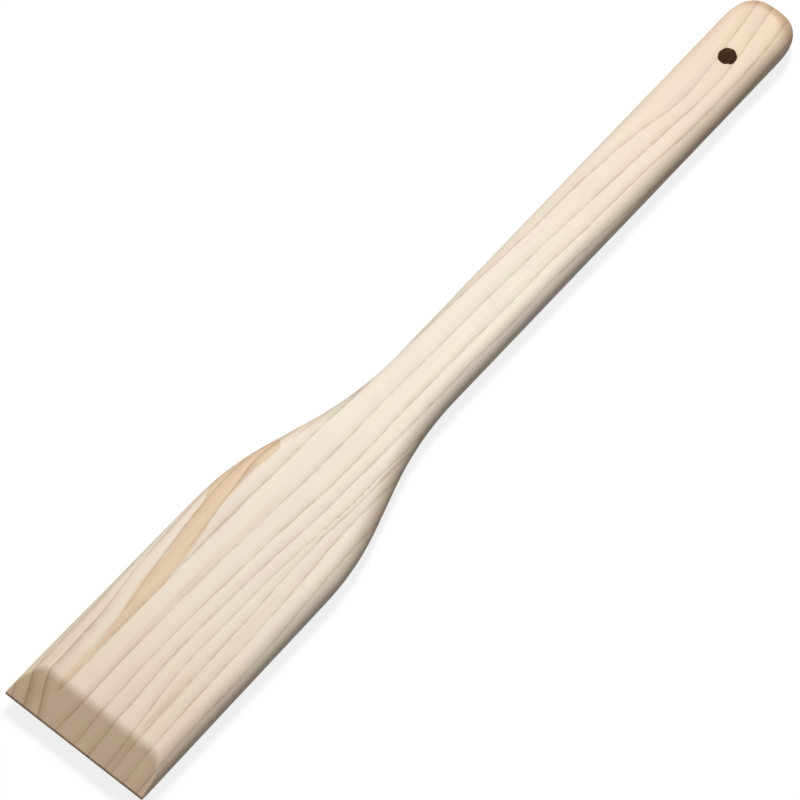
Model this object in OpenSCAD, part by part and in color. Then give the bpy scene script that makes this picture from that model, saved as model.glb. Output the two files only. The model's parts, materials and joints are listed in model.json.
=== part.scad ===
// Stirring paddle carved from one pine board.
// X runs from the scraping edge to the handle end, Y across the blade, Z up.
// The paddle lies on its back, with the origin below its middle.

/* [Board] */
// Length from the scraping edge to the handle end
total_length = 457; // [430:1:500]
// Thickness of the planed board
board_thickness = 14; // [12:0.5:18]

/* [Blade] */
// Width of the blade at its scraping edge
blade_width = 75; // [72:0.5:80]
// Inward lean of each long side of the blade, in degrees
side_lean = 0.55; // [0:0.05:0.8]
// Distance from the scraping edge to where the shoulders begin
shoulder_start = 118; // [100:1:130]
// Radius of each rounded shoulder
shoulder_radius = 129; // [110:1:140]
// Slope of the sides below the shoulders, in degrees from the long axis
neck_slope = 17.9; // [16.5:0.1:20]
// Radius of each hollow where the sides run into the handle
neck_radius = 155; // [130:1:165]
// How far the rounded edges reach in from the blade's outline
blade_edge_round = 8; // [5:0.1:10]

/* [Scraping edge] */
// Length of the bevel on each face
bevel_length = 17.4; // [12:0.1:22]
// Thickness left at the scraping edge
edge_thickness = 2.1; // [1.5:0.1:3]
// Radius that softens the line between each bevel and its face
bevel_ease_radius = 22; // [10:1:28]

/* [Handle] */
// Width of the handle
handle_width = 32; // [28:0.5:33]
// How far the rounded edges reach in from the handle's outline
handle_edge_round = 7.2; // [5:0.1:8]
// Length of the rounded end
end_length = 21; // [16:0.5:28]
// Squareness of the rounded end, where 2 is a plain ellipse
end_squareness = 2.8; // [2.2:0.1:3.2]

/* [Hanging hole] */
// Diameter of the drilled hole
hole_diameter = 8; // [6:0.5:10]
// Distance from the hole's centre to the handle end
hole_from_end = 34; // [30:0.5:40]
// Width of the small chamfer round each mouth of the hole
hole_chamfer = 0.3; // [0.1:0.1:0.6]

/* [Hidden] */
// Steps from back to face round the edge, and along each part of the outline
edge_steps = 20;
blade_steps = 4;
shoulder_steps = 12;
slope_steps = 2;
neck_steps = 14;
handle_steps = 6;
end_steps = 18;
ease_steps = 8;
hole_sides = 64;
// How far each cutter reaches past what it cuts
overcut = 2;
// Lift that makes the softened bevel line run out through the face
ease_lift = 0.02;

half_thickness = board_thickness / 2;
handle_half = handle_width / 2;

// The shoulder arc starts on the leaning side and ends on the slope.
shoulder_half = blade_width / 2 - shoulder_start * tan(side_lean);
shoulder_centre_x = shoulder_start - shoulder_radius * sin(side_lean);
shoulder_centre_y = shoulder_half - shoulder_radius * cos(side_lean);
slope_start = shoulder_centre_x + shoulder_radius * sin(neck_slope);
slope_half = shoulder_centre_y + shoulder_radius * cos(neck_slope);

// The neck arc starts on the slope and ends along the handle.
neck_half = handle_half + neck_radius * (1 - cos(neck_slope));
neck_start = slope_start + (slope_half - neck_half) / tan(neck_slope);
neck_end = neck_start + neck_radius * sin(neck_slope);
end_start = total_length - end_length;

// Half of the outline's width at a distance x from the scraping edge
function half_width(x) =
    x < shoulder_start ? blade_width / 2 - x * tan(side_lean) :
    x < slope_start ? shoulder_centre_y + sqrt(pow(shoulder_radius, 2) - pow(x - shoulder_centre_x, 2)) :
    x < neck_start ? slope_half - (x - slope_start) * tan(neck_slope) :
    x < neck_end ? handle_half + neck_radius - sqrt(pow(neck_radius, 2) - pow(neck_end - x, 2)) :
    handle_half;

// Angle between the outline and the long axis at x
function side_angle(x) =
    x < shoulder_start ? side_lean :
    x < slope_start ? asin((x - shoulder_centre_x) / shoulder_radius) :
    x < neck_start ? neck_slope :
    x < neck_end ? asin((neck_end - x) / neck_radius) :
    0;

// Reach of the rounded edge at x, blended from blade to handle along the neck
function neck_share(x) = min(1, max(0, (x - shoulder_start) / (neck_end - shoulder_start)));
function edge_round(x) =
    blade_edge_round + (handle_edge_round - blade_edge_round) * (1 - cos(180 * neck_share(x))) / 2;

// Even steps from a to b, leaving b out
function spread(a, b, steps) = [for (i = [0 : steps - 1]) a + (b - a) * i / steps];

side_stations = concat(
    spread(0, shoulder_start, blade_steps),
    spread(shoulder_start, slope_start, shoulder_steps),
    spread(slope_start, neck_start, slope_steps),
    spread(neck_start, neck_end, neck_steps),
    spread(neck_end, end_start, handle_steps)
);

// One side of the outline where the edge is turned by the angle turn from its widest line.
// The share of the rounding that is taken in grows from none at 0 to all of it at 90 degrees.
function half_outline(turn) = concat(
    [for (x = side_stations)
        [x, half_width(x) - edge_round(x) * (1 - cos(turn)) / cos(side_angle(x))]],
    [for (i = [0 : end_steps - 1])
        let (
            along = 90 * i / end_steps,
            inset = handle_edge_round * (1 - cos(turn))
        )
        [end_start + (end_length - inset) * pow(sin(along), 2 / end_squareness),
            (handle_half - inset) * pow(cos(along), 2 / end_squareness)]]
);

// A closed level of the board: one side, the middle of the handle end, then the other side
function level(turn) =
    let (
        side = half_outline(turn),
        last = len(side) - 1,
        z = half_thickness * (1 + sin(turn)),
        tip = total_length - handle_edge_round * (1 - cos(turn))
    )
    concat(
        [for (p = side) [p[0], p[1], z]],
        [[tip, 0, z]],
        [for (i = [last : -1 : 0]) [side[i][0], -side[i][1], z]]
    );

// The whole board with rounded edges, as stacked levels joined by triangles
module rounded_board() {
    levels = [for (j = [0 : edge_steps]) level(-90 + 180 * j / edge_steps)];
    count = len(levels[0]);
    middle = (count - 1) / 2;
    top = edge_steps * count;
    walls = [for (j = [0 : edge_steps - 1], i = [0 : count - 1], half = [0, 1])
        let (
            a = j * count + i,
            b = j * count + (i + 1) % count
        )
        half == 0 ? [a, b, b + count] : [a, b + count, a + count]];
    back = [for (i = [0 : middle - 1], half = [0, 1])
        let (far = count - 1 - i)
        half == 0 ? [i, far, i + 1] : [i + 1, far, far - 1]];
    face = [for (f = back) [f[2] + top, f[1] + top, f[0] + top]];
    polyhedron(
        points = [for (one = levels, p = one) p],
        faces = [for (f = concat(walls, back, face)) if (f[0] != f[1] && f[1] != f[2]) f],
        convexity = 6
    );
}

// The waste above one bevel, with the line between bevel and face softened by an arc
module bevel_waste() {
    drop = half_thickness - edge_thickness / 2;
    bevel_angle = atan(drop / bevel_length);
    ease_reach = bevel_ease_radius * tan(bevel_angle / 2);
    centre_x = bevel_length + ease_reach;
    centre_z = board_thickness - bevel_ease_radius + ease_lift;
    arc = [for (k = [0 : ease_steps])
        let (a = 90 + bevel_angle * (1 - k / ease_steps))
        [centre_x + bevel_ease_radius * cos(a), centre_z + bevel_ease_radius * sin(a)]];
    start_z = half_thickness + edge_thickness / 2 - overcut * tan(bevel_angle);
    rotate([90, 0, 0])
        linear_extrude(height = blade_width + 2 * overcut, center = true)
            polygon(concat(
                [[-overcut, start_z]],
                arc,
                [[centre_x, board_thickness + overcut], [-overcut, board_thickness + overcut]]
            ));
}

// The drill's waste, with a small chamfer at one mouth
module hole_waste() {
    cylinder(d = hole_diameter, h = board_thickness + 2 * overcut, center = true, $fn = hole_sides);
    for (flip = [0, 180])
        rotate([flip, 0, 0])
            translate([0, 0, half_thickness - hole_chamfer])
                cylinder(
                    r1 = hole_diameter / 2,
                    r2 = hole_diameter / 2 + hole_chamfer + overcut,
                    h = hole_chamfer + overcut,
                    $fn = hole_sides
                );
}

// The board, bevelled on both faces at the scraping edge and drilled near the handle end
module paddle() {
    color("#ecdcc8")
        translate([-total_length / 2, 0, 0])
            difference() {
                rounded_board();
                bevel_waste();
                translate([0, 0, board_thickness])
                    mirror([0, 0, 1])
                        bevel_waste();
                translate([total_length - hole_from_end, 0, half_thickness])
                    hole_waste();
            }
}

paddle();
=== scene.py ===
"""The look of a stirring paddle carved from one pine board, with its light and camera.

The board's plan and edges repeat the driving sizes of the solid, and its length, width,
thickness and hanging hole come from the frame. Sizes are in millimetres until a mesh is made.
"""

import json
import math

import bmesh
import bpy
import numpy as np
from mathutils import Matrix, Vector


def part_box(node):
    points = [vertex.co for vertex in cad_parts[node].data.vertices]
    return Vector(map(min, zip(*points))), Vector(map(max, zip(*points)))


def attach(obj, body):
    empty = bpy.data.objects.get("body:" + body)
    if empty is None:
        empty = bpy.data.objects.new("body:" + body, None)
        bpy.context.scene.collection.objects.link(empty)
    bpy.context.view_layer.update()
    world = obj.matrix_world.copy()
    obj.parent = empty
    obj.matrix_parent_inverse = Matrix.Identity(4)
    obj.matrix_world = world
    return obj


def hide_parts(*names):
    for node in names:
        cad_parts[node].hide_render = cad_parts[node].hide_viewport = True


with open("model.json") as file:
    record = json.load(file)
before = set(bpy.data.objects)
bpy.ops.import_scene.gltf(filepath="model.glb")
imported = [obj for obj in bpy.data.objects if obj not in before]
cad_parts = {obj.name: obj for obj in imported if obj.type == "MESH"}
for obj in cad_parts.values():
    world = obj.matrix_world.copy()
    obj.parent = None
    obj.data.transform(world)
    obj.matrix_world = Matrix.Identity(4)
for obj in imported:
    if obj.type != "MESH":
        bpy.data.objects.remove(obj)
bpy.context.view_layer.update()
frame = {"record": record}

MM = 0.001

# Size of the board, from the frame
low, high = (np.array(corner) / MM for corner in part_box("paddle"))
LENGTH, WIDTH, THICKNESS = high - low
HALF_THICKNESS = THICKNESS / 2
HANG_HOLE = next(m for m in frame["record"]["mounts"] if m["name"] == "hang_hole")
HOLE_X = HANG_HOLE["pos_m"][0] / MM - low[0]
HOLE_RADIUS = HANG_HOLE["dims"]["r_mm"]

# Plan of the board, measured from the scraping edge as in the solid
SIDE_LEAN = math.radians(0.55)
SHOULDER_START = 118.0
SHOULDER_RADIUS = 129.0
NECK_SLOPE = math.radians(17.9)
NECK_RADIUS = 155.0
HANDLE_HALF = 16.0
END_LENGTH = 21.0
END_SQUARENESS = 2.8
BLADE_ROUND = 8.0
HANDLE_ROUND = 7.2

# The bevel on each face and the thin edge that it leaves
BEVEL_LENGTH = 17.4
EDGE_THICKNESS = 2.1
BEVEL_BLEND = 0.8
TIP_EASE = 0.25

# Half the side of the square round the hole that the drilled grid fills, and how fine the face is
HOLE_SQUARE = 6.0
FACE_COLUMNS = 34
SQUARE_COLUMN = 6
# How far the rim of the hole is worn outwards
WORN_RIM = 0.3
# How much shorter than the solid the sanded handle end is
END_SANDED = 0.05

# Centres and meeting points of the plan's arcs and slope, worked out from the sizes above
SHOULDER_HALF = WIDTH / 2 - SHOULDER_START * math.tan(SIDE_LEAN)
SHOULDER_X = SHOULDER_START - SHOULDER_RADIUS * math.sin(SIDE_LEAN)
SHOULDER_Y = SHOULDER_HALF - SHOULDER_RADIUS * math.cos(SIDE_LEAN)
SLOPE_START = SHOULDER_X + SHOULDER_RADIUS * math.sin(NECK_SLOPE)
SLOPE_HALF = SHOULDER_Y + SHOULDER_RADIUS * math.cos(NECK_SLOPE)
NECK_HALF = HANDLE_HALF + NECK_RADIUS * (1 - math.cos(NECK_SLOPE))
NECK_START = SLOPE_START + (SLOPE_HALF - NECK_HALF) / math.tan(NECK_SLOPE)
NECK_END = NECK_START + NECK_RADIUS * math.sin(NECK_SLOPE)
END_START = LENGTH - END_LENGTH

# The tree's pith ran along the board just above its face, left of the middle
PITH_Y = 24.0
PITH_Z = THICKNESS + 3.0

# Where each growth ring meets the face, as x and y along the board, from the pith outwards
RING_LINES = (
    ((0, 18.8), (50, 18.8), (100, 18.2), (150, 17.2), (200, 15), (300, 10), (350, 7.6),
     (375, 4.5), (390, 1.8), (410, 1.8), (430, 4), (457, 8)),
    ((0, 7.7), (50, 8.3), (100, 7.4), (125, 6.2), (150, 4.8), (210, 4), (260, 2.8), (300, 1.4),
     (350, -1.8), (375, -3.2), (400, -5), (415, -4.8), (430, -3), (457, 1)),
    ((0, -1.6), (25, -1), (45, -0.1), (100, -1.6), (125, -2.8), (160, -5.2), (210, -5.2),
     (260, -5.8), (300, -6.8), (350, -8.7), (400, -11.2), (430, -10.4), (457, -8)),
    ((0, -9), (25, -7.7), (50, -6.7), (85, -7), (115, -8.4), (155, -11), (200, -11.8),
     (300, -13), (400, -17), (457, -14)),
    ((0, -18), (16, -17), (45, -13.9), (90, -13.4), (120, -14.5), (145, -16.9), (200, -17.8),
     (300, -19.5), (457, -22)),
    ((0, -21), (60, -19.6), (100, -18.5), (150, -17.6), (200, -18.8), (300, -22), (457, -26)),
    ((0, -27.8), (50, -26.5), (100, -25.6), (150, -23), (200, -24), (300, -27), (457, -32)),
    ((0, -35), (100, -33), (150, -30), (457, -39)),
    ((0, -42), (100, -40), (150, -37), (457, -46)),
    ((0, -49), (100, -47), (150, -44), (457, -53)),
)

# The core's layers lean: this much sideways for each millimetre of depth
CORE_LEAN = 1.46
# The first core line on the face, and the distance from one core line to the next
CORE_LINE = ((0, 28.4), (40, 28.7), (55, 29.5), (65, 31), (75, 32.6), (100, 36), (457, 60))
CORE_SPACING = 7.2

# Lower and upper edge of the tan heartwood band, as x and y along the face
BAND_LOWER = ((0, 18.9), (40, 18.8), (58, 18.2), (70, 17.7), (85, 18.2), (95, 19.2), (105, 20.5),
              (113, 22.3), (120, 23.6), (132, 24.1), (142, 24), (154, 22.8), (158, 23.2), (163, 32),
              (457, 60))
BAND_UPPER = ((0, 21.2), (20, 21.4), (45, 21.6), (55, 23.2), (65, 25.6), (72, 26.7), (80, 27.1),
              (90, 28.1), (100, 29.2), (110, 30.7), (118, 32.5), (126, 40), (457, 60))

# Soft darker patches on the face: middle x and y, half length, half width and strength
STAINS = (
    (38, -19.0, 26, 2.3, 0.8),
    (86, 9.6, 34, 1.9, 0.55),
    (128, 8.2, 22, 1.6, 0.35),
    (5, 27.5, 12, 4.5, 0.9),
    (90, -21.5, 30, 2.0, 0.3),
    (160, 16.9, 6, 0.9, 0.6),
    (112, 18.3, 14, 0.8, 0.4),
    (30, 30.5, 24, 1.2, 0.35),
)

# How much darker and warmer the wood is made along the board: the tip and the handle's end most
DARKER_ENDS = ((0, 0.8), (40, 0.62), (80, 0.25), (130, 0.12), (180, 0), (280, 0.05), (330, 0.3),
          (380, 0.62), (457, 1))


def through(points, x):
    """A smooth line through points: a cubic between each pair, with the mean slope at each."""
    px, py = np.array(points, float).T
    slopes = np.gradient(py, px)
    x = np.clip(x, px[0], px[-1])
    i = np.clip(np.searchsorted(px, x, side="right") - 1, 0, len(px) - 2)
    span = px[i + 1] - px[i]
    t = (x - px[i]) / span
    rise = py[i + 1] - py[i]
    start = slopes[i] * span
    end = slopes[i + 1] * span
    return py[i] + start * t + (3 * rise - 2 * start - end) * t**2 + (start + end - 2 * rise) * t**3


def half_width(x):
    """Half of the plan's width at x: leaning side, shoulder arc, slope, hollow arc, handle."""
    shoulder = SHOULDER_Y + np.sqrt(np.maximum(SHOULDER_RADIUS**2 - (x - SHOULDER_X) ** 2, 0))
    slope = SLOPE_HALF - (x - SLOPE_START) * math.tan(NECK_SLOPE)
    hollow = HANDLE_HALF + NECK_RADIUS - np.sqrt(np.maximum(NECK_RADIUS**2 - (NECK_END - x) ** 2, 0))
    return np.select(
        [x < SHOULDER_START, x < SLOPE_START, x < NECK_START, x < NECK_END],
        [WIDTH / 2 - x * math.tan(SIDE_LEAN), shoulder, slope, hollow],
        HANDLE_HALF,
    )


def side_angle(x):
    """Angle of the plan's side to the long axis at x, in radians."""
    return np.select(
        [x < SHOULDER_START, x < SLOPE_START, x < NECK_START, x < NECK_END],
        [
            SIDE_LEAN,
            np.arcsin(np.clip((x - SHOULDER_X) / SHOULDER_RADIUS, -1, 1)),
            NECK_SLOPE,
            np.arcsin(np.clip((NECK_END - x) / NECK_RADIUS, -1, 1)),
        ],
        0.0,
    )


def edge_reach(x, side):
    """Reach of the rounded edge at x: a slow blend from blade to handle, with a sander's waver."""
    share = np.clip((x - SHOULDER_START) / (NECK_END - SHOULDER_START), 0, 1)
    plain = BLADE_ROUND + (HANDLE_ROUND - BLADE_ROUND) * (1 - np.cos(np.pi * share)) / 2
    return plain + 0.18 * np.sin(x / 23 + 2 * side) + 0.1 * np.sin(x / 9.5 + side)


def sanded_in(x, side):
    """How far hand sanding took the side in at x: two slow waves, never outwards."""
    return 0.06 + 0.03 * np.sin(x / 31 + side) + 0.02 * np.sin(x / 13 + 2.6 * side)


def soft_min(a, b, blend):
    """The smaller of a and b, rounded over where they differ by less than blend."""
    near = np.maximum(blend - np.abs(a - b), 0) / blend
    return np.minimum(a, b) - near**2 * blend / 4


def tip_ease(x):
    """Quarter-round that eases the corners of the thin edge: its rise over the first TIP_EASE."""
    along = np.clip(TIP_EASE - x, 0, TIP_EASE)
    return TIP_EASE - np.sqrt(TIP_EASE**2 - along**2)


def bevelled(x, height):
    """A height over the middle plane, kept under the bevel's slope with a softened line."""
    drop = HALF_THICKNESS - EDGE_THICKNESS / 2
    slope = EDGE_THICKNESS / 2 + x * drop / BEVEL_LENGTH - tip_ease(x)
    blend = np.minimum(BEVEL_BLEND, 0.6 * slope)
    return np.sign(height) * np.maximum(soft_min(np.abs(height), slope, blend), 0)


def stations():
    """Distances along the board: close together at the tip and the hole, wider between."""
    return np.concatenate([
        TIP_EASE * (1 - np.cos(np.linspace(0, np.pi / 2, 5)[:-1])),
        np.arange(TIP_EASE, 26, 0.5),
        np.linspace(26, HOLE_X - HOLE_SQUARE, 256)[:-1],
        np.linspace(HOLE_X - HOLE_SQUARE, HOLE_X + HOLE_SQUARE, 25)[:-1],
        np.linspace(HOLE_X + HOLE_SQUARE, END_START, 8)[:-1],
    ])


def half_rim(turn, side):
    """One side of the rim as a grid over station and turn, the angle from its widest line.

    The section is a quarter ellipse, as wide as the edge's reach and half the board high. Past
    END_START the plan is a superellipse that shrinks with the turn, up to the handle's end.
    """
    x = stations()[:, None]
    taken = edge_reach(x, side) * (1 - np.cos(turn)) / np.cos(side_angle(x))
    y = half_width(x) - sanded_in(x, side) - tip_ease(x) - taken
    round_angle = np.linspace(0, np.pi / 2, 44)[:, None]
    power = 2 / END_SQUARENESS
    end_taken = HANDLE_ROUND * (1 - np.cos(turn))
    end_x = END_START + (END_LENGTH - END_SANDED - end_taken) * np.sin(round_angle) ** power
    fade = 1 - np.sin(round_angle)
    waver = (edge_reach(END_START, side) - HANDLE_ROUND) * fade * (1 - np.cos(turn))
    end_half = HANDLE_HALF - sanded_in(END_START, side) * fade - waver - end_taken
    end_y = end_half * np.cos(round_angle) ** power
    end_y[-1] = 0
    xs = np.concatenate([np.broadcast_to(x, y.shape), end_x])
    ys = np.concatenate([y, end_y])
    zs = bevelled(xs, HALF_THICKNESS * np.sin(turn) * np.ones_like(xs))
    return np.stack([xs, ys if side > 0 else -ys, zs], -1)


def flat_face(left, right, columns):
    """A face as a grid of straight rows from the left rim's inner line to the right one's."""
    share = np.linspace(0, 1, columns + 1)[None, :, None]
    return left[:, None] * (1 - share) + right[:, None] * share


def ragged(angle, height):
    """Unevenness of a drilled wall in soft wood: feed ridges, torn fibre and a few wide chips."""
    ridges = 0.05 * np.sin(2 * np.pi * height / 1.15 + angle)
    torn = 0.035 * np.sin(5 * angle + 1.9 * height) + 0.03 * np.sin(11 * angle - 3.1 * height)
    return ridges + torn + 0.03 * np.sin(23 * angle + 5.3 * height)


def drilled(face, back, first, last):
    """The hole as one grid: from a square of the face in to the rim, down the wall, and out.

    Each row runs round the hole. Outside the rim it blends from the square's border to the
    rim circle, and inside it follows the wall, whose radius is uneven with angle and height.
    """
    def border(grid):
        block = grid[first:last + 1, SQUARE_COLUMN:grid.shape[1] - SQUARE_COLUMN]
        return np.concatenate([block[:-1, 0], block[-1, :-1], block[:0:-1, -1], block[0, :0:-1]])

    def around(loop, radius, height):
        angle = np.arctan2(loop[:, 1], loop[:, 0] - HOLE_X)
        chips = 0.09 * np.sin(3 * angle + 0.7) + 0.07 * np.sin(7 * angle + 2.1)
        frayed = chips + 0.05 * np.sin(17 * angle) + 0.04 * np.sin(29 * angle + 1)
        depth = np.clip((HALF_THICKNESS - abs(height)) / 0.8, 0, 1)
        r = radius + ragged(angle, height) * depth + frayed * (1 - depth)
        return np.stack([HOLE_X + r * np.cos(angle), r * np.sin(angle), np.full_like(r, height)], 1)

    rows = []
    top, under = border(face), border(back)
    for share in (0, 0.3, 0.55, 0.75, 0.9):
        rim = around(top, HOLE_RADIUS + WORN_RIM, HALF_THICKNESS)
        rows.append(top * (1 - share) + rim * share)
    lip = ((WORN_RIM, 0), (0.17, 0.04), (0.08, 0.14), (0.02, 0.34))
    rows += [around(top, HOLE_RADIUS + out, HALF_THICKNESS - down) for out, down in lip]
    wall = np.linspace(HALF_THICKNESS - 0.6, 0.6 - HALF_THICKNESS, 44)
    rows += [around(top, HOLE_RADIUS, height) for height in wall]
    rows += [around(under, HOLE_RADIUS + out, down - HALF_THICKNESS) for out, down in lip[::-1]]
    for share in (0.9, 0.75, 0.55, 0.3, 0):
        rim = around(under, HOLE_RADIUS + WORN_RIM, -HALF_THICKNESS)
        rows.append(under * (1 - share) + rim * share)
    grid = np.array(rows)
    return np.concatenate([grid, grid[:, :1]], 1)


def quads(rows, columns, offset, keep=None):
    """Corner numbers of the four-sided faces of one grid, leaving out those not in keep."""
    number = offset + np.arange(rows * columns).reshape(rows, columns)
    corners = np.stack([number[:-1, :-1], number[1:, :-1], number[1:, 1:], number[:-1, 1:]], -1)
    return corners[keep] if keep is not None else corners.reshape(-1, 4)


def board_grids():
    """Every grid of the board's skin: both rims, both faces, the thin edge and the hole."""
    turn = np.radians(np.linspace(-90, 90, 37))[None, :]
    left, right = half_rim(turn, 1), half_rim(turn, -1)
    face = flat_face(left[:, -1], right[:, -1], FACE_COLUMNS)
    back = flat_face(left[:, 0], right[:, 0], FACE_COLUMNS)

    # The square of each face that the drilled grid replaces
    first = int(np.argmin(np.abs(stations() - (HOLE_X - HOLE_SQUARE))))
    last = int(np.argmin(np.abs(stations() - (HOLE_X + HOLE_SQUARE))))
    whole = np.ones((face.shape[0] - 1, FACE_COLUMNS), bool)
    whole[first:last, SQUARE_COLUMN:FACE_COLUMNS - SQUARE_COLUMN] = False

    # The thin edge closes the board at x = 0, from its lower line to its upper one
    middle = turn.shape[1] // 2
    upper = np.concatenate([left[0, middle:-1], face[0], right[0, middle:-1][::-1]])
    lower = np.concatenate([left[0, 1:middle + 1][::-1], back[0], right[0, 1:middle + 1]])
    share = np.linspace(0, 1, 4)[:, None, None]
    edge = lower * (1 - share) + upper * share

    hole = drilled(face, back, first, last)
    return [(left, None), (right, None), (face, whole), (back, whole), (edge, None), (hole, None)]


def carve_board():
    """Welds the grids into one closed mesh, in the frame's place and in metres."""
    points, faces, count = [], [], 0
    for grid, keep in board_grids():
        rows, columns = grid.shape[:2]
        points.append(grid.reshape(-1, 3))
        faces.append(quads(rows, columns, count, keep))
        count += rows * columns
    points = np.concatenate(points) + np.array([low[0], 0, low[2] + HALF_THICKNESS])
    mesh = bpy.data.meshes.new("pine_board")
    mesh.from_pydata((points * MM).tolist(), [], np.concatenate(faces).tolist())
    shell = bmesh.new()
    shell.from_mesh(mesh)
    bmesh.ops.remove_doubles(shell, verts=shell.verts, dist=2e-6)
    bmesh.ops.recalc_face_normals(shell, faces=shell.faces)
    shell.to_mesh(mesh)
    shell.free()
    mesh.shade_smooth()
    return mesh


def growth_fields(x, y, z):
    """The wood at each point, from its place in the board, all in millimetres.

    ring: distance from the pith, turned into a ring number that is whole where a ring's line is.
    gap: the width of the ring that the point is in.
    core: ring number for the leaning layers beside the pith.
    leans: 1 where the core's layers show, 0 where the round rings do.
    band_in, band_out: how far the point is past the tan band's lower edge and before its upper.
    stain, and the field for the ends: strength of the soft dark patches, and how much darker and warmer the
    wood is made towards the tip and the handle's end.
    """
    rise = PITH_Z - THICKNESS
    radius = np.hypot(y - PITH_Y, z - PITH_Z)
    ring = np.zeros_like(x)
    gap = np.full_like(x, 6.0)
    inner = np.zeros_like(x)
    for line in RING_LINES:
        outer = np.hypot(through(line, x) - PITH_Y, rise)
        outer = np.maximum(outer, inner + 1.5)
        ring += np.clip((radius - inner) / (outer - inner), 0, 1)
        gap = np.where(radius > inner, outer - inner, gap)
        inner = outer
    depth = np.maximum(THICKNESS - z, 0)
    leaned = y + CORE_LEAN * depth
    core = (leaned - through(CORE_LINE, x)) / CORE_SPACING

    # The core shows on the left of the face and fades out towards the back and the middle
    leans = np.clip((leaned - 21) / 3, 0, 1) * np.clip((z - 1) / 4, 0, 1)
    leans *= np.clip((y - 12) / 6, 0, 1)
    band_in = y - through(BAND_LOWER, x) + 0.3 * depth
    band_out = through(BAND_UPPER, x) - leaned
    stain = np.zeros_like(x)
    for middle_x, middle_y, long, wide, strength in STAINS:
        away = ((x - middle_x) / long) ** 2 + ((y - middle_y) / wide) ** 2
        stain += strength * np.exp(-1.5 * away) * np.clip((z - 3) / 6, 0, 1)
    return {"ring": ring, "gap": gap, "core": core, "leans": leans, "band_in": band_in,
            "band_out": band_out, "stain": stain, "darker_ends": through(DARKER_ENDS, x)}


def mark_growth(mesh):
    """Stores the growth fields on the mesh's points, for the pine material to read."""
    places = np.empty(len(mesh.vertices) * 3)
    mesh.vertices.foreach_get("co", places)
    x, y, z = places.reshape(-1, 3).T / MM - np.array([[low[0]], [0], [low[2]]])
    for name, values in growth_fields(x, y, z).items():
        mesh.attributes.new(name, "FLOAT", "POINT").data.foreach_set("value", values)


def linear(hex_colour):
    """An sRGB hex colour as linear red, green, blue and alpha."""
    channels = [int(hex_colour[i:i + 2], 16) / 255 for i in (0, 2, 4)]
    return [c / 12.92 if c <= 0.04045 else ((c + 0.055) / 1.055) ** 2.4 for c in channels] + [1]


def add(tree, kind, inputs=None, **settings):
    """Adds a node with its settings, and sets or links each input by its name or number."""
    node = tree.nodes.new(kind)
    for name, value in settings.items():
        setattr(node, name, value)
    for key, value in (inputs or {}).items():
        if isinstance(value, bpy.types.NodeSocket):
            tree.links.new(value, node.inputs[key])
        else:
            node.inputs[key].default_value = value
    return node


def new_material(name):
    """An empty material with a Principled shader, and the node tree that holds it."""
    material = bpy.data.materials.new(name)
    material.use_nodes = True
    tree = material.node_tree
    shader = tree.nodes["Principled BSDF"]
    return material, tree, shader


def ramp_stops(node, stops):
    """Sets a colour ramp's stops, each a position and a grey value or a hex colour."""
    ramp = node.color_ramp
    while len(ramp.elements) < len(stops):
        ramp.elements.new(1)
    for element, (position, value) in zip(ramp.elements, stops):
        element.position = position
        element.color = linear(value) if isinstance(value, str) else (value, value, value, 1)


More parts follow.
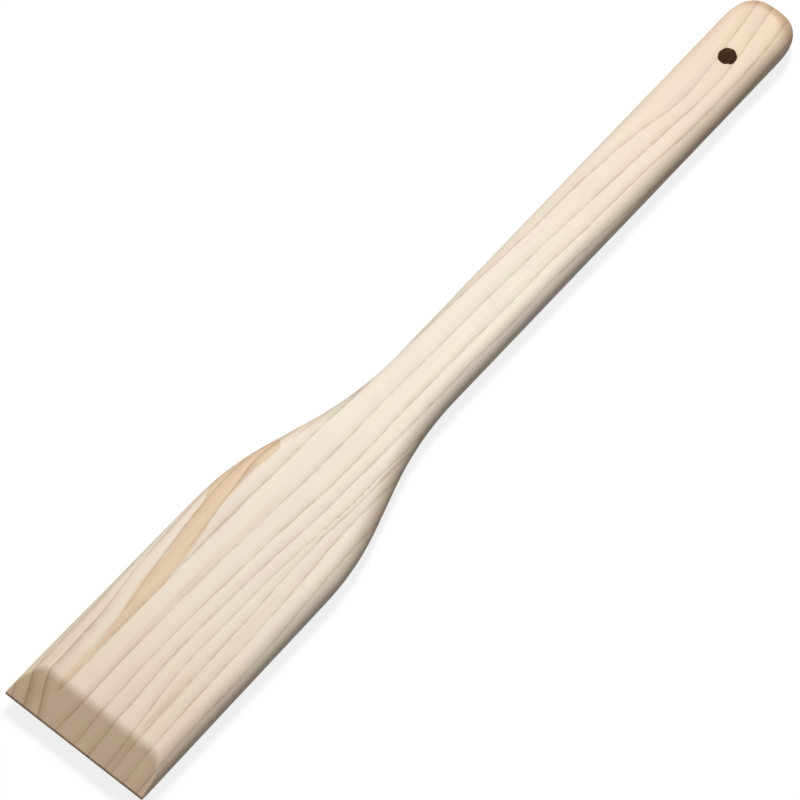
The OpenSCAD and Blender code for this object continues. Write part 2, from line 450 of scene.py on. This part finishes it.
def sanded_pine():
    """Planed and sanded pine, bare and unoiled.

    The eye gets pale cream earlywood, brown latewood lines that fade in slowly and stop crisply on
    their outer side, a tan band of resinous heartwood and a dry satin surface.
    """
    material, tree, shader = new_material("sanded_pine")
    place = add(tree, "ShaderNodeTexCoord")

    def calc(operation, *values, clamp=False):
        inputs = dict(enumerate(values))
        return add(tree, "ShaderNodeMath", inputs, operation=operation, use_clamp=clamp).outputs[0]

    def stretched(long_mm, wide_mm, detail, shift=0.0):
        """Noise around zero, whose patches are long_mm along the grain and wide_mm across it."""
        scale = (1 / (long_mm * MM), 1 / (wide_mm * MM), 1 / (wide_mm * MM))
        spot = add(tree, "ShaderNodeMapping", {"Vector": place.outputs["Object"], "Scale": scale,
                                               "Location": (shift, shift, shift)})
        inputs = {"Vector": spot.outputs[0], "Scale": 1.0, "Detail": detail}
        noise = add(tree, "ShaderNodeTexNoise", inputs)
        return calc("SUBTRACT", noise.outputs[0], 0.5)

    def field(name):
        return add(tree, "ShaderNodeAttribute", attribute_name=name).outputs["Fac"]

    def mixed(factor, first, second, blend="MIX"):
        inputs = {0: factor, 6: first, 7: second}
        return add(tree, "ShaderNodeMix", inputs, data_type="RGBA", blend_type=blend).outputs[2]

    def graded(value, stops):
        node = add(tree, "ShaderNodeValToRGB", {0: value})
        ramp_stops(node, stops)
        return node.outputs[0]

    along = add(tree, "ShaderNodeSeparateXYZ", {0: place.outputs["Object"]}).outputs[0]
    slow = calc("MULTIPLY", stretched(38, 8, 1), 1.3)
    quick = calc("MULTIPLY", stretched(7, 1.2, 2, 2.0), 0.9)
    wander = calc("ADD", slow, quick)
    feather = calc("MULTIPLY", stretched(4.5, 0.45, 2, 9.0), 1.5)

    # A latewood line, by the distance in mm before its crisp side: a narrow core and a long haze
    haze_mm, past_mm = 3.8, 0.8
    line_stops = [((mm + past_mm) / (haze_mm + past_mm), value) for mm, value in (
        (-0.8, 0), (-0.55, 0.12), (-0.35, 0.6), (-0.15, 1), (0.15, 1), (0.45, 0.62), (0.8, 0.42),
        (1.5, 0.3), (2.4, 0.18), (3.8, 0))]

    def lines(name, gap, seed):
        """Darkness of the layer lines: each runs its length with its own slow changes of strength."""
        strayed = calc("ADD", field(name), calc("DIVIDE", wander, gap))
        number = calc("SUBTRACT", strayed, calc("DIVIDE", past_mm, gap))
        share_left = calc("SUBTRACT", 1.0, calc("FRACT", number))
        before = calc("SUBTRACT", calc("MULTIPLY", share_left, gap), past_mm)
        in_haze = calc("MULTIPLY", before, 0.5, clamp=True)
        frayed = calc("ADD", before, calc("MULTIPLY", feather, in_haze))
        profile = graded(calc("DIVIDE", calc("ADD", frayed, past_mm), haze_mm + past_mm), line_stops)
        which = calc("MULTIPLY", calc("FLOOR", number), 5.3)

        def changes(length_mm, depth):
            spot = add(tree, "ShaderNodeCombineXYZ", {0: calc("MULTIPLY", along, 1 / (length_mm * MM)),
                                                      1: which, 2: seed + length_mm})
            inputs = {"Vector": spot.outputs[0], "Scale": 1.0, "Detail": 1.0}
            noise = add(tree, "ShaderNodeTexNoise", inputs)
            return calc("MULTIPLY", calc("SUBTRACT", noise.outputs[0], 0.5), depth)

        strength = calc("ADD", calc("ADD", changes(42, 1.6), changes(6, 1.0)), 0.78, clamp=True)
        return calc("MULTIPLY", profile, strength)

    round_rings = lines("ring", field("gap"), 0.0)
    leaning = calc("MULTIPLY", lines("core", CORE_SPACING, 4.0), 1.5)
    latewood = add(tree, "ShaderNodeMix", {0: field("leans"), 2: round_rings, 3: leaning}).outputs[0]

    # Earlywood drifts between a yellower and a pinker cream, and is made darker and warmer towards both
    # ends
    drift = calc("ADD", calc("MULTIPLY", stretched(30, 6, 2, 3.0), 3.0), 0.5, clamp=True)
    fresh = mixed(drift, linear("F5E9D5"), linear("F3E4D5"))
    ends_tone = mixed(drift, linear("E9D3B6"), linear("E8CEB7"))
    wood = mixed(field("darker_ends"), fresh, ends_tone)
    wood = mixed(calc("MULTIPLY", field("stain"), 0.6, clamp=True), wood, linear("D6BB98"))

    # The tan band: a crisp lower edge and an upper edge that breaks into long flames
    nibbled = calc("ADD", field("band_in"), calc("MULTIPLY", stretched(6, 0.9, 2, 7.0), 1.6))
    lower = calc("DIVIDE", nibbled, 0.7, clamp=True)
    flame_length = calc("ADD", calc("MULTIPLY", field("band_in"), 0.35, clamp=True), 0.6)
    flames = calc("MULTIPLY", calc("MULTIPLY", stretched(16, 1.2, 2, 11.0), 1.6), flame_length)
    upper = calc("DIVIDE", calc("ADD", calc("ADD", field("band_out"), flames), 0.4), 1.6, clamp=True)
    depth = calc("ADD", 0.88, calc("MULTIPLY", stretched(20, 1.5, 2, 5.0), 0.8))
    band = calc("MULTIPLY", calc("MULTIPLY", lower, upper), depth)
    wood = mixed(band, wood, linear("E6C8A6"))

    # Latewood darkens the wood under it, the band's as well
    wood = mixed(calc("MULTIPLY", latewood, 0.9, clamp=True), wood, linear("DBD3CB"), "MULTIPLY")

    # Fine fibres, drawn about twice as wide as real ones so that they show
    fibres = graded(calc("ADD", stretched(12, 0.4, 3, 17.0), 0.5), [(0.25, 0.95), (0.75, 1.0)])
    wood = mixed(1.0, wood, fibres, "MULTIPLY")

    # A few short resin flecks
    flecks = graded(calc("ADD", stretched(4, 0.5, 1, 23.0), 0.5), [(0.76, 0), (0.82, 1)])
    wood = mixed(calc("MULTIPLY", flecks, 0.5), wood, linear("B99C7C"))

    # Where the cut crosses the fibres it drinks in light and looks darker and browner
    facing = add(tree, "ShaderNodeSeparateXYZ", {0: place.outputs["Normal"]}).outputs[0]
    end_grain = graded(calc("ABSOLUTE", facing), [(0.05, 0), (0.32, 0.55), (1, 1)])
    wood = mixed(end_grain, wood, linear("CDB79D"), "MULTIPLY")

    # Sanding leaves faint lengthwise scratches, and the hard rings a hair proud
    scratches = calc("MULTIPLY", stretched(20, 0.3, 2, 31.0), 0.6)
    scratches = calc("ADD", scratches, calc("MULTIPLY", latewood, 0.5))
    bump = add(tree, "ShaderNodeBump", {"Height": scratches, "Strength": 0.25, "Distance": 0.0001})
    tree.links.new(wood, shader.inputs["Base Color"])
    tree.links.new(bump.outputs[0], shader.inputs["Normal"])
    shader.inputs["Roughness"].default_value = 0.62
    shader.inputs["IOR"].default_value = 1.5
    return material


def drill_wall_pine():
    """Pine of the drilled wall, coloured dark brown and dry, with slanting ridges and paler torn fibre."""
    material, tree, shader = new_material("brown_drill_wall")
    place = add(tree, "ShaderNodeTexCoord")
    centre = (-HANG_HOLE["pos_m"][0], 0, 0)
    spot = add(tree, "ShaderNodeMapping", {"Vector": place.outputs["Object"], "Location": centre})
    scale = (1 / (1.6 * MM), 1 / (1.6 * MM), 1 / (0.5 * MM))
    stretch = add(tree, "ShaderNodeMapping", {"Vector": spot.outputs[0], "Scale": scale,
                                              "Rotation": (0.5, 0.35, 0)})
    noise = add(tree, "ShaderNodeTexNoise", {"Vector": stretch.outputs[0], "Scale": 1.0, "Detail": 4.0})
    wall_tone = add(tree, "ShaderNodeValToRGB", {0: noise.outputs[0]})
    ramp_stops(wall_tone, [(0.3, "5E3D27"), (0.45, "8A5F40"), (0.58, "B58A66"), (0.75, "E0BE9C")])
    bump = add(tree, "ShaderNodeBump", {"Height": noise.outputs[0], "Strength": 0.6, "Distance": 0.0003})
    tree.links.new(wall_tone.outputs[0], shader.inputs["Base Color"])
    tree.links.new(bump.outputs[0], shader.inputs["Normal"])
    shader.inputs["Roughness"].default_value = 0.7
    shader.inputs["IOR"].default_value = 1.5
    return material


def finish_board():
    """The dressed board: mesh, growth fields and both finishes, on the frame's root body."""
    mesh = carve_board()
    mark_growth(mesh)
    mesh.materials.append(sanded_pine())
    mesh.materials.append(drill_wall_pine())
    centres = np.empty(len(mesh.polygons) * 3)
    mesh.polygons.foreach_get("center", centres)
    x, y, z = centres.reshape(-1, 3).T / MM - np.array([[low[0] + HOLE_X], [0], [HALF_THICKNESS]])

    # The dark brown faces are the wall's, from just under one rim to just under the other
    in_wall = (np.hypot(x, y) < HOLE_RADIUS + 0.14) & (np.abs(z) < HALF_THICKNESS - 0.1)
    mesh.polygons.foreach_set("material_index", in_wall.astype(np.int32))
    board = bpy.data.objects.new("pine_board", mesh)
    bpy.context.scene.collection.objects.link(board)
    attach(board, "root")
    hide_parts("paddle")


# Viewpoint of the photograph: direction back to the camera, distance and scale
CAMERA_AZIMUTH = math.radians(-49.668)
CAMERA_ELEVATION = math.radians(62.267)
CAMERA_DISTANCE = 3.9114
PICTURE_PX = 800
PX_PER_MM = 2.37994
# Where the middle of the board falls in the picture, in pixels from the left and the top
BOARD_MIDDLE_PX = (432.67, 370.22)
# The point of the board that falls there, in metres
BOARD_MIDDLE = (0, 0, 0.008)


def stand_camera():
    """A long lens at the photograph's angle, shifted so that the board's middle falls in place."""
    back = Vector((
        math.sin(CAMERA_AZIMUTH) * math.cos(CAMERA_ELEVATION),
        -math.cos(CAMERA_AZIMUTH) * math.cos(CAMERA_ELEVATION),
        math.sin(CAMERA_ELEVATION),
    ))
    data = bpy.data.cameras.new("camera")
    data.sensor_width = 36
    data.lens = PX_PER_MM * CAMERA_DISTANCE / MM * data.sensor_width / PICTURE_PX
    data.shift_x = 0.5 - BOARD_MIDDLE_PX[0] / PICTURE_PX
    data.shift_y = BOARD_MIDDLE_PX[1] / PICTURE_PX - 0.5
    data.clip_end = 50
    camera = bpy.data.objects.new("camera", data)
    camera.location = Vector(BOARD_MIDDLE) + back * CAMERA_DISTANCE
    camera.rotation_euler = back.to_track_quat("Z", "Y").to_euler()
    bpy.context.scene.collection.objects.link(camera)
    bpy.context.scene.camera = camera


# Half the floor's side, and how far it lies below the board, in metres
FLOOR_HALF = 6.0
FLOOR_DROP = 0.0003


def lay_floor():
    """A plain pale floor: white to the camera but for the board's shadow, dark to the board."""
    material = bpy.data.materials.new("pale_floor")
    material.use_nodes = True
    tree = material.node_tree
    tree.nodes.clear()
    rays = add(tree, "ShaderNodeLightPath")
    seen = add(tree, "ShaderNodeMath", {0: rays.outputs["Is Camera Ray"], 1: rays.outputs["Is Glossy Ray"]},
               operation="MAXIMUM")
    seen = add(tree, "ShaderNodeMath", {0: seen.outputs[0], 1: rays.outputs["Is Transmission Ray"]},
               operation="MAXIMUM")
    pale = add(tree, "ShaderNodeBsdfDiffuse", {"Color": (0.2, 0.2, 0.2, 1)})
    glow = add(tree, "ShaderNodeEmission", {"Color": (1, 1, 1, 1), "Strength": 0.82})
    bright = add(tree, "ShaderNodeAddShader", {0: pale.outputs[0], 1: glow.outputs[0]})
    dull = add(tree, "ShaderNodeBsdfDiffuse", {"Color": (0.16, 0.16, 0.16, 1)})
    both = add(tree, "ShaderNodeMixShader", {0: seen.outputs[0], 1: dull.outputs[0], 2: bright.outputs[0]})
    add(tree, "ShaderNodeOutputMaterial", {"Surface": both.outputs[0]})
    corners = ((-1, -1), (1, -1), (1, 1), (-1, 1))
    mesh = bpy.data.meshes.new("floor")
    places = [(x * FLOOR_HALF, y * FLOOR_HALF, -FLOOR_DROP) for x, y in corners]
    mesh.from_pydata(places, [], [(0, 1, 2, 3)])
    mesh.materials.append(material)
    floor = bpy.data.objects.new("floor", mesh)
    bpy.context.scene.collection.objects.link(floor)


# Each lamp: direction from the board, distance and size in metres, and strength in watts
LAMPS = {
    "key_lamp": ((0.6, 0.36, 1.0), 2.8, 0.85, 77.0),
    "fill_lamp": ((-0.45, -0.45, 0.8), 2.6, 1.6, 8.5),
}
SKY_STRENGTH = 0.1


def light_studio():
    """A soft lamp beyond the handle, a weak wide one near the camera, and a dim, even sky.

    The sky is white only to the camera.
    """
    for name, (direction, distance, size, watts) in LAMPS.items():
        data = bpy.data.lights.new(name, "AREA")
        data.shape = "SQUARE"
        data.size = size
        data.energy = watts
        lamp = bpy.data.objects.new(name, data)
        lamp.location = Vector(direction).normalized() * distance
        lamp.rotation_euler = Vector(direction).to_track_quat("Z", "Y").to_euler()
        bpy.context.scene.collection.objects.link(lamp)

    world = bpy.data.worlds.new("studio")
    world.use_nodes = True
    bpy.context.scene.world = world
    tree = world.node_tree
    tree.nodes.clear()
    rays = add(tree, "ShaderNodeLightPath")
    dim = add(tree, "ShaderNodeBackground", {"Color": (1, 1, 1, 1), "Strength": SKY_STRENGTH})
    white = add(tree, "ShaderNodeBackground", {"Color": (1, 1, 1, 1), "Strength": 1.0})
    both = add(tree, "ShaderNodeMixShader", {0: rays.outputs["Is Camera Ray"], 1: dim.outputs[0],
                                             2: white.outputs[0]})
    add(tree, "ShaderNodeOutputWorld", {"Surface": both.outputs[0]})
    bpy.context.scene.view_settings.view_transform = "Standard"


stand_camera()
finish_board()
lay_floor()
light_studio()
